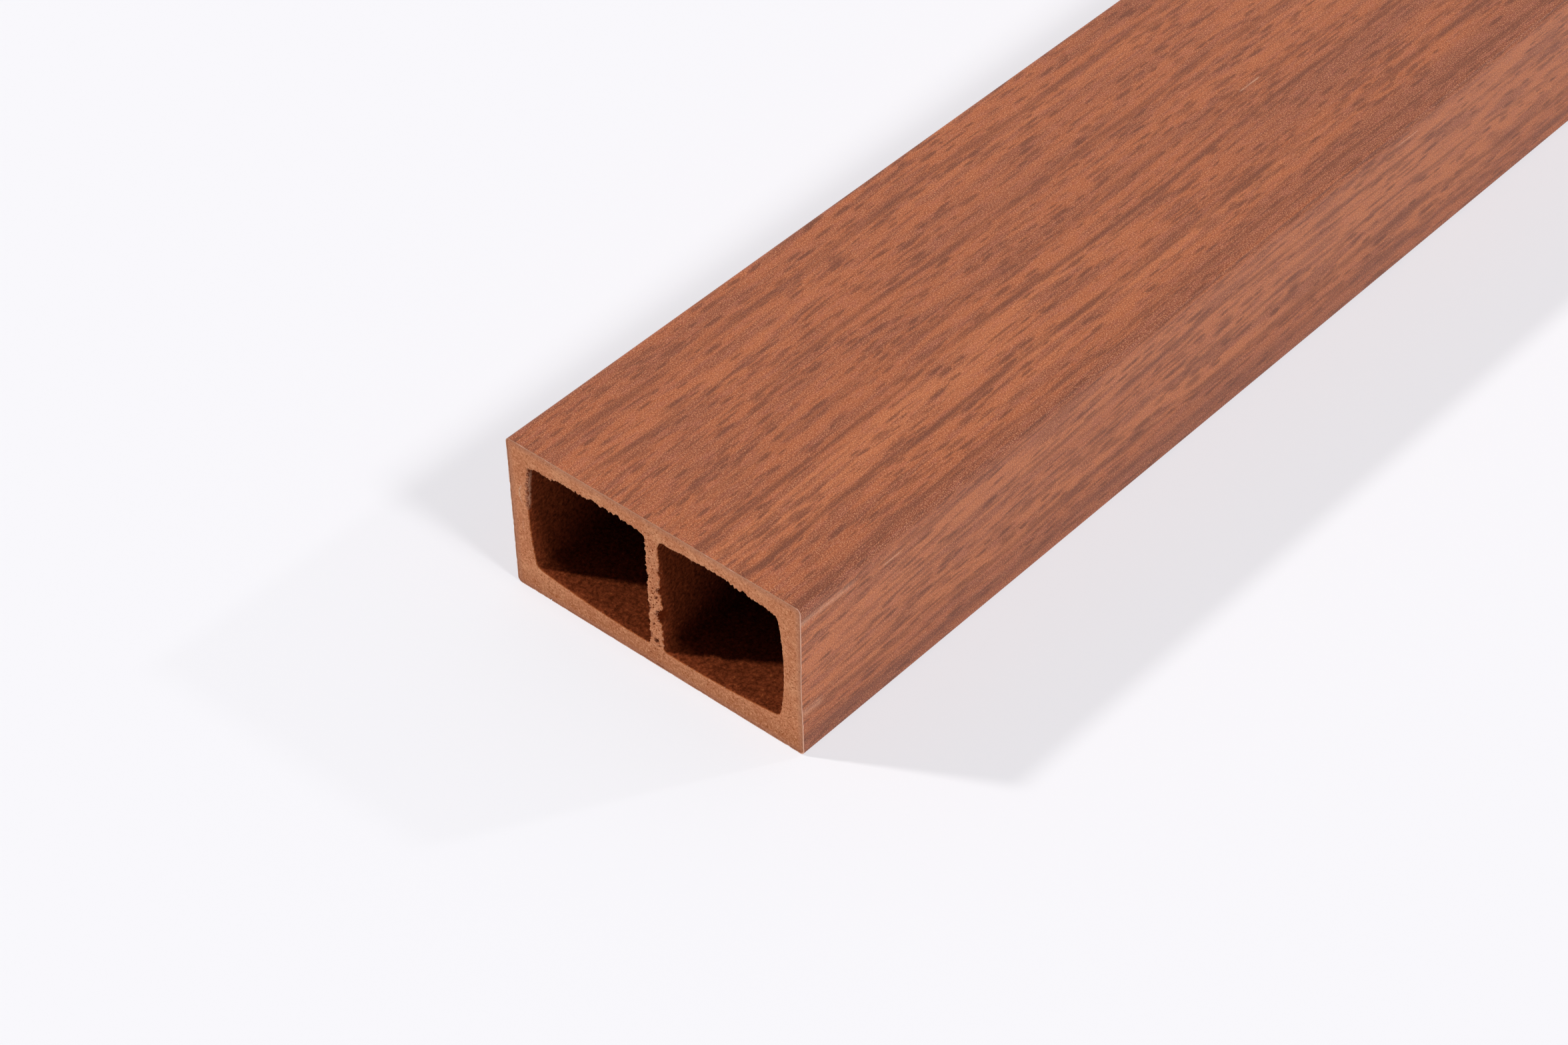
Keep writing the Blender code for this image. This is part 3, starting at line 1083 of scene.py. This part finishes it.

# the noises of the print: the size of a patch across and along the grain in mm, a seed, the
# detail and the roughness; the speckle, grit and pale flecks, which also stand for painted glints of the
# embossing, is finer on the real film, and is drawn coarse enough to show
printNoises = dict(
    waver=(26, 75, 3.1, 1.0, 0.5),
    crowd=(7, 48, 1.9, 2.0, 0.5),          # where the dashes crowd
    broken=(2.6, 26, 6.6, 2.0, 0.5),       # what breaks the long streaks
    figure=(15, 210, 8.6, 1.5, 0.5),       # broad figure of the board
    strip=(3.0, 36, 5.2, 2.0, 0.5),
    hair=(0.8, 9, 2.4, 1.5, 0.5),
    bloom=(2.2, 7, 5.3, 3.0, 0.65),
    grit=(0.38, 0.437, 0.3, 2.0, 0.75),
    speckAndGlint=(0.304, 0.342, 9.1, 1.0, 0.6),
    patchy=(0.9, 2.2, 4.2, 3.0, 0.7),      # what breaks the rubbed places
)

# four kinds of dash: the cell that holds it, across and along the grain in mm, its size and
# strength at most, and a seed
dashes = table(
    "across along size depth seed",
    (2.3, 11.0, 0.54, 0.80, 4.4),
    (1.7, 7.5, 0.52, 0.76, 7.7),
    (1.4, 19.0, 0.48, 0.70, 2.6),
    (1.0, 8.5, 0.46, 0.52, 9.3),
)
dashShape = dict(
    shakeScale=2.3, shake=(0.24, 0.24, 0),    # how a cell is shaken out of its even shape
    square=2.6,           # exponent of its distance
    least=0.6,            # the smallest and the weakest, as a share of the most
    core=0.30,            # share of a dash that is fully dark
    edge=(-0.02, 0.05),   # how gently cells fill as the share of them rises
)

# long dark streaks of the print: the face, the place across it, the width, the strength, and
# the stretch along the tube, all in mm
streaks = table(
    "face at wide strength span",
    ("top", 31.5, 3.6, 1.0, (-20, 260)),
    ("top", 15.0, 3.4, 0.85, (-20, 90)),
    ("top", 14.0, 3.0, 0.9, (80, 620)),
    ("top", -22.5, 3.0, 0.8, (-30, 50)),
    ("top", -36.5, 4.0, 0.7, (-20, 900)),
    ("top", -12.5, 3.6, 0.8, (50, 420)),
    ("top", 5.0, 5.0, 0.45, (-20, 300)),
    ("top", 47.6, 4.2, 0.75, (-50, 2950)),
    ("top", 33.0, 3.0, 0.8, (250, 1900)),
    ("top", -30.0, 3.5, 0.8, (820, 2950)),
    ("top", 2.0, 4.0, 0.9, (1200, 2950)),
    ("right", 41.5, 1.6, 0.75, (-20, 260)),
    ("right", 30.5, 2.2, 0.7, (15, 420)),
    ("right", 19.5, 1.6, 0.65, (30, 500)),
    ("right", 12.5, 3.0, 0.7, (-20, 700)),
    ("right", 4.5, 4.5, 0.6, (-20, 2950)),
    ("left", 30.0, 3.5, 0.9, (-20, 1300)),
    ("left", 12.0, 3.0, 0.7, (600, 2950)),
)
streakCore = 0.2                # share of a streak's width that is fully dark
streakEnds = (25, 30)           # mm over which it sets in and fades

# scratches and rubbed places: the face, the place across it, the middle along the tube, the
# length and the width in mm, and the strength
rubs = table(
    "face at along long wide strength",
    ("right", 43.1, 34, 8, 0.7, 0.75),
    ("right", 45.7, 256, 12, 0.7, 0.6),
    ("top", 4.3, 244, 11, 0.8, 0.6),
    ("right", 45.3, 7, 30, 3.4, 0.34),
    ("right", 14.5, 2, 13, 4.0, 0.30),
)
rubEnds = (0.5, 0.3)            # shares of its length from its middle, where it ends and is full

# how light the print is round the section: the face, the place across it in mm, and the tone from dark 0
# to light 1, where 0.5 is the plain base; partly the board's own figure and partly painted light, as the
# right side is painted lighter than the top to make up for the weaker light on it, and it grows darker
# towards its foot
tonesWithPaintedLight = [("right", 1, 0.36), ("right", 8, 0.42), ("right", 16, 0.60), ("right", 27, 0.70),
         ("right", 40, 0.72), ("right", 48, 0.54), ("top", 47, 0.36), ("top", 38, 0.48),
         ("top", 24, 0.55), ("top", 10, 0.47), ("top", -6, 0.48), ("top", -18, 0.47),
         ("top", -31, 0.55), ("top", -46, 0.46), ("left", 38, 0.5), ("left", 22, 0.58),
         ("left", 6, 0.44)]
figureShare, toneLevel = 0.7, 0.35    # what the broad figure adds to a tone, and what it takes

# how much the grain leans on each face as it runs along
slants = [("right", 0, 0.25), ("right", 14, 0.35), ("right", 44, 0.95), ("top", 40, 0.12),
          ("top", -44, 0.08), ("left", 40, 0.6), ("left", 8, 0.6)]


# metres round the film from the seam to a place on a face: mm across for top, mm up for the sides
def roundTheFilm(face, at):
    arc = film["arris"] * pi / 2
    flatWide, flatHigh = 2 * (halfWidth - film["arris"]), height - 2 * film["arris"]
    rightFoot = 2 * halfWidth - film["arris"] - film["seamFromSide"] - film["seamGap"] / 2 + arc
    starts = {"right": rightFoot, "top": rightFoot + flatHigh + arc,
              "left": rightFoot + flatHigh + flatWide + 2 * arc}
    across = {"right": at - film["arris"], "top": halfWidth - film["arris"] - at,
              "left": height - film["arris"] - at}
    return (starts[face] + across[face]) * mm


# a value that changes round the section, from a list of places
def roundCurve(tree, across, places):
    fullRound = roundTheFilm("left", film["arris"]) + 20 * mm
    made = put(tree, "ShaderNodeFloatCurve", None, put(tree, "times", across, 1 / fullRound))
    spots = [(roundTheFilm(face, at) / fullRound, value) for face, at, value in places]
    points = made.mapping.curves[0].points
    points[0].location = (0.0, spots[0][1])
    points[1].location = (1.0, spots[-1][1])
    for spot in spots:
        points.new(*spot)
    made.mapping.update()
    return made


# a place measured in patches that are drawn out along the grain
def drawnOut(tree, place, across, along, seed):
    return put(tree, "stretch", place, (seed, seed * 0.7, 0), None,
               (1 / (across * mm), 1 / (along * mm), 1))


def printNoise(tree, place, name):
    across, along, seed, detail, roughness = printNoises[name]
    return put(tree, "flatNoise", drawnOut(tree, place, across, along, seed), 1.0, detail, roughness)


# where the long streaks run
def gatherStreaks(tree, grain):
    gather = 0.0
    for streak in streaks:
        middle, half = roundTheFilm(streak["face"], streak["at"]), 0.5 * streak["wide"] * mm
        off = put(tree, "size", put(tree, "minus", grain["X"], middle))
        here = put(tree, "ramp", off, half, streakCore * half, 0.0, streak["strength"])
        for end, fade in zip(streak["span"], (streakEnds[0], -streakEnds[1])):
            here = put(tree, "times", here, put(tree, "ramp", grain["Y"], end * mm, (end + fade) * mm))
        gather = put(tree, "largest", here, gather)
    return gather


# the short dashes: stretched cells, of which a share holds a dash of its own size and depth
def scatterDashes(tree, grain, share):
    total, shape = 0.0, dashShape
    for dash in dashes:
        place = drawnOut(tree, grain, dash["across"], dash["along"], dash["seed"])
        shake = put(tree, "flatNoise", place, shape["shakeScale"], 1.0)
        moved = put(tree, "ShaderNodeVectorMath", shake.outputs["Color"], shape["shake"], place,
                    operation="MULTIPLY_ADD")
        cells = put(tree, "ShaderNodeTexVoronoi", moved, 1.0, None, None, None, shape["square"],
                    voronoi_dimensions="2D", distance="MINKOWSKI").outputs
        held, big, deep = put(tree, "ShaderNodeSeparateColor", cells["Color"]).outputs
        size, strength = (put(tree, "ramp", drawn, 0.0, 1.0, most * shape["least"], most)
                          for drawn, most in ((big, dash["size"]), (deep, dash["depth"])))
        dark = put(tree, "ramp", cells["Distance"], size, put(tree, "times", size, shape["core"]))
        there = put(tree, "ramp", put(tree, "minus", share, held), *shape["edge"])
        here = put(tree, "times", put(tree, "times", dark, there), strength)
        total = put(tree, "largest", here, total)
    return total


# where the film is scratched or rubbed pale
def rubbedPlaces(tree, across, along, patchy):
    total = 0.0
    for rub in rubs:
        offAcross = put(tree, "size", put(tree, "minus", across, roundTheFilm(rub["face"], rub["at"])))
        offAlong = put(tree, "size", put(tree, "minus", along, rub["along"] * mm))
        here = put(tree, "ramp", offAcross, 0.5 * rub["wide"] * mm, 0.0, 0.0, rub["strength"])
        ends = put(tree, "ramp", offAlong, *(share * rub["long"] * mm for share in rubEnds))
        total = put(tree, "largest", put(tree, "times", here, ends), total)
    return put(tree, "times", total, patchy)


def makePrintedFilm():
    look = printLook
    name = "PVC decor film, gravure printed and embossed"
    material, tree, shader, paint = newMaterial(name, look)
    across, along, _ = put(tree, "apart", put(tree, "ShaderNodeUVMap", uv_map="printMap")).outputs
    plain = put(tree, "vector", across, along)

    # the grain leans and wavers a little on its way
    swing = put(tree, "sine", put(tree, "times", along, 2 * pi / (look["leanRun"] * mm)))
    lean = put(tree, "times", put(tree, "times", roundCurve(tree, across, slants), swing),
               look["lean"] * mm)
    waver = put(tree, "times", put(tree, "minus", printNoise(tree, plain, "waver"), 0.5),
                2 * look["waver"] * mm)
    grain = put(tree, "vector", put(tree, "add", put(tree, "minus", across, lean), waver), along)

    gather = gatherStreaks(tree, put(tree, "apart", grain).outputs)
    crowd = put(tree, "ramp", printNoise(tree, grain, "crowd"), *look["crowds"], look["fewest"],
                look["fewest"] + look["crowding"])
    share = put(tree, "add", crowd, put(tree, "times", gather, look["gathering"]))
    broken = put(tree, "ramp", printNoise(tree, grain, "broken"), *look["breaks"])
    dark = put(tree, "largest", scatterDashes(tree, grain, share), put(tree, "times", gather, broken))

    figure = put(tree, "times", printNoise(tree, grain, "figure"), figureShare)
    # the level holds painted light: its tones paint the right side lighter than the top
    level = put(tree, "add", figure, put(tree, "minus", roundCurve(tree, across, tonesWithPaintedLight), toneLevel))
    patterns = dict(level=level)
    for name, place in (("strip", grain), ("hair", grain), ("bloom", plain), ("grit", plain),
                        ("speckAndGlint", plain)):
        patterns[name] = printNoise(tree, place, name)
    grit = patterns["grit"]
    patterns["dashes"] = put(tree, "times", dark, put(tree, "ramp", grit, *look["gritOnDash"]))
    patchy = put(tree, "ramp", printNoise(tree, plain, "patchy"), *look["wears"])
    patterns["rubbed"] = rubbedPlaces(tree, across, along, patchy)
    colour = layCoats(tree, paint["base"], paint, patterns, look["coats"])

    rough = put(tree, "ramp", grit, *look["gritOnGloss"], look["roughness"] - look["glossier"],
                look["roughness"] + look["duller"])
    tree.links.new(rough.outputs[0], shader.inputs["Roughness"])
    relief = put(tree, "minus", grit, put(tree, "times", dark, look["dashRelief"]))
    finishMaterial(tree, shader, colour, relief, look["reliefStrength"], look["relief"])
    return material


# the same film seen on its cut: unprinted pinkish PVC, polished by the blade down the right side
cutLook = dict(
    base="#e7b297", dull="#be835e", roughness=0.5, ior=1.52, specular=0.4,
    polished=(2.2, 0.6), polish=0.5,    # mm from the right side where the polish sets in and is full
    patch=4.0, shown=(0.58, 0.86, 0.05, 0.9),
)


def makeCutFilm():
    look = cutLook
    material, tree, shader, paint = newMaterial("PVC film, sawn edge", look)
    place = put(tree, "ShaderNodeTexCoord").outputs["Object"]
    x = put(tree, "apart", place).outputs["X"]
    start, full = ((halfWidth - off) * mm for off in look["polished"])
    patchy = put(tree, "noise", place, 1 / (look["patch"] * mm), 3.0)
    polished = put(tree, "add", patchy, put(tree, "ramp", x, start, full, 0.0, look["polish"]))
    shown = put(tree, "ramp", polished, *look["shown"])
    finishMaterial(tree, shader, put(tree, "coat", shown, paint["dull"], paint["base"]))
    return material


# wood-plastic composite, extruded, foamed and sawn: a dry matt tan cut with pale and dark specks of wood
# flour, denser and greyer near the skin, and dark in its open cells, bites and cracks, partly as painted
# shade; its floor wall is painted darker as painted shade
sawnLook = dict(
    base="#cd855f", light="#f0b388", dark="#944f2b", grey="#b67f66", low="#ad6e4c", pit="#a04c24",
    torn="#d69c7d", gouge="#7c3418", scuff="#e6c3ab", roughness=0.9, ior=1.5, specular=0.0,
    grain=0.52,           # mm: size of the wood flour, drawn a little coarser than it is
    fleck=0.75, fleckEdge=(0.40, 0.18),    # mm: spacing of the single flecks, and where one ends
    cloud=6.0,            # mm: size of its paler clouds
    darkFlecks=0.16, paleFlecks=0.13,    # how many of the flecks are dark, and how many pale
    relief=0.10, reliefStrength=0.55,    # depth of the saw's marks
    coats=[("cloud", 0.42, 0.72, 0.30, "light"),
           ("up", 9.0 * mm, 2.0 * mm, 0.55, "low"),    # painted shade: the floor wall is painted a little darker, where the table shades it
           ("grain", 0.50, 0.24, 0.78, "dark"),
           ("grain", 0.50, 0.76, 0.80, "light"),
           ("darkFleck", None, None, 0.75, "dark"),
           ("paleFleck", None, None, 0.50, "light"),
           ("skin", 2.6, 0.5, 0.55, "grey")],
    # the torn mark is pale torn foam; the gouge and pit marks are painted darker, partly as painted shade
    # of bites, notches, cracks and open cells
    marks=[(name, None, None, 1.0, name) for name in ("torn", "gouge", "pit")],
)

# pale scuffs that the saw left on the left wall: centre, radius, and the stretch of z in mm
scuffs = table(
    "x z radius span strength",
    (-41.4, 32.6, 5.2, (29.2, 36.2), 0.50),
    (-40.9, 22.0, 5.4, (19.0, 24.6), 0.22),
)
scuffLine = (0.32, 0.05)        # mm from its middle line where a scuff ends and is full
scuffEnds = 1.5                 # mm over which it sets in and fades
scuffGrain = (0.3, 0.6)         # the grain between which it shows


# a scuff is an arc that the grain breaks up
def scuffShown(tree, scuff, x, z, grain):
    low, high = (end * mm for end in scuff["span"])
    centre = put(tree, "vector", scuff["x"] * mm, None, scuff["z"] * mm)
    away = put(tree, "ShaderNodeVectorMath", put(tree, "vector", x, None, z), centre,
               operation="DISTANCE")
    off = put(tree, "size", put(tree, "minus", away, scuff["radius"] * mm))
    line = put(tree, "ramp", off, *(side * mm for side in scuffLine), 0.0, scuff["strength"])
    for limit in (put(tree, "below", x, scuff["x"] * mm),
                  put(tree, "ramp", z, low, low + scuffEnds * mm),
                  put(tree, "ramp", z, high, high - scuffEnds * mm),
                  put(tree, "ramp", grain, *scuffGrain)):
        line = put(tree, "times", line, limit)
    return line


# what buildTube marked on the tube's points
def readMarks(tree, *names):
    return {name: put(tree, "mark", attribute_name=name).outputs["Fac"] for name in names}


def makeSawnFoam():
    look = sawnLook
    name = "foamed wood-plastic composite, sawn face"
    material, tree, shader, paint = newMaterial(name, look)
    place = put(tree, "ShaderNodeTexCoord").outputs["Object"]
    x, _, z = put(tree, "apart", place).outputs
    grain = put(tree, "noise", place, 1 / (look["grain"] * mm), 2.0, 0.7)
    flour = put(tree, "ShaderNodeTexVoronoi", place, 1 / (look["fleck"] * mm)).outputs
    kind = put(tree, "ShaderNodeSeparateColor", flour["Color"]).outputs[0]
    fleck = put(tree, "ramp", flour["Distance"], *look["fleckEdge"])
    patterns = dict(
        readMarks(tree, "skin", "torn", "gouge", "pit"), up=z, grain=grain,
        cloud=put(tree, "noise", place, 1 / (look["cloud"] * mm), 2.0),
        darkFleck=put(tree, "times", fleck, put(tree, "below", kind, look["darkFlecks"])),
        paleFleck=put(tree, "times", fleck, put(tree, "above", kind, 1 - look["paleFlecks"])))
    colour = layCoats(tree, paint["base"], paint, patterns, look["coats"])
    for scuff in scuffs:
        colour = put(tree, "coat", scuffShown(tree, scuff, x, z, grain), colour, paint["scuff"])
    colour = layCoats(tree, colour, paint, patterns, look["marks"])
    finishMaterial(tree, shader, colour, grain, look["reliefStrength"], look["relief"])
    return material


# the same composite on the inside, as it left the die: a rough fibrous dark skin, browner where the saw
# opened it at the rim, and painted darker deeper in, as painted shade of the chamber
skinLook = dict(
    base="#8b4225", dark="#5a2712", light="#b36236", rim="#bd6c40", torn="#e0a585", gouge="#6b2a12",
    unlit="#140603", roughness=0.95, ior=1.5, specular=0.0,
    lump=1.0,             # mm: size of its lumps and fibres
    relief=0.40, reliefStrength=0.9,    # their depth
    tornLumps=(0.37, 0.50), gougeLumps=(0.66, 0.48, 0.35, 1.0),    # the lumps that a mark shows on
    coats=[("lumps", 0.34, 0.62, 1.0, "base"),
           ("lumps", 0.58, 0.74, 1.0, "light"),
           ("mouth", 6, 34, 0.45, "unlit"),    # painted shade: mm in, between which the skin is painted darker deeper in the chamber
           ("mouth", 0.5, 0.05, 1.0, "rim"),
           ("tornLumps", None, None, 1.0, "torn"),
           # partly painted shade: notches and cracks behind the rim are painted darker
           ("gougeLumps", None, None, 1.0, "gouge")],
)


def makeChamberSkin():
    look = skinLook
    name = "foamed wood-plastic composite, extruded inner skin"
    material, tree, shader, paint = newMaterial(name, look)
    place = put(tree, "ShaderNodeTexCoord").outputs["Object"]
    lumps = put(tree, "noise", place, 1 / (look["lump"] * mm), 4.0, 0.72)
    patterns = dict(readMarks(tree, "mouth", "torn", "gouge"), lumps=lumps)
    for mark in ("torn", "gouge"):
        shown = put(tree, "ramp", lumps, *look[mark + "Lumps"])
        patterns[mark + "Lumps"] = put(tree, "times", patterns[mark], shown)
    colour = layCoats(tree, paint["dark"], paint, patterns, look["coats"])
    finishMaterial(tree, shader, colour, lumps, look["reliefStrength"], look["relief"])
    return material


# The pieces

printedFilm = makePrintedFilm()
filmPiece = buildFilm(printedFilm, makeCutFilm())
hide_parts(filmNode)
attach(filmPiece, "root")
print("film wrapped")

sawnFoam = makeSawnFoam()
tubePiece, rimSeats = buildTube(sawnFoam, makeChamberSkin())
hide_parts(tubeNode)
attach(tubePiece, "root")
print("tube sawn")

burrPiece = buildBurrs(rimSeats, sawnFoam)
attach(burrPiece, "root")
print("rims ragged")
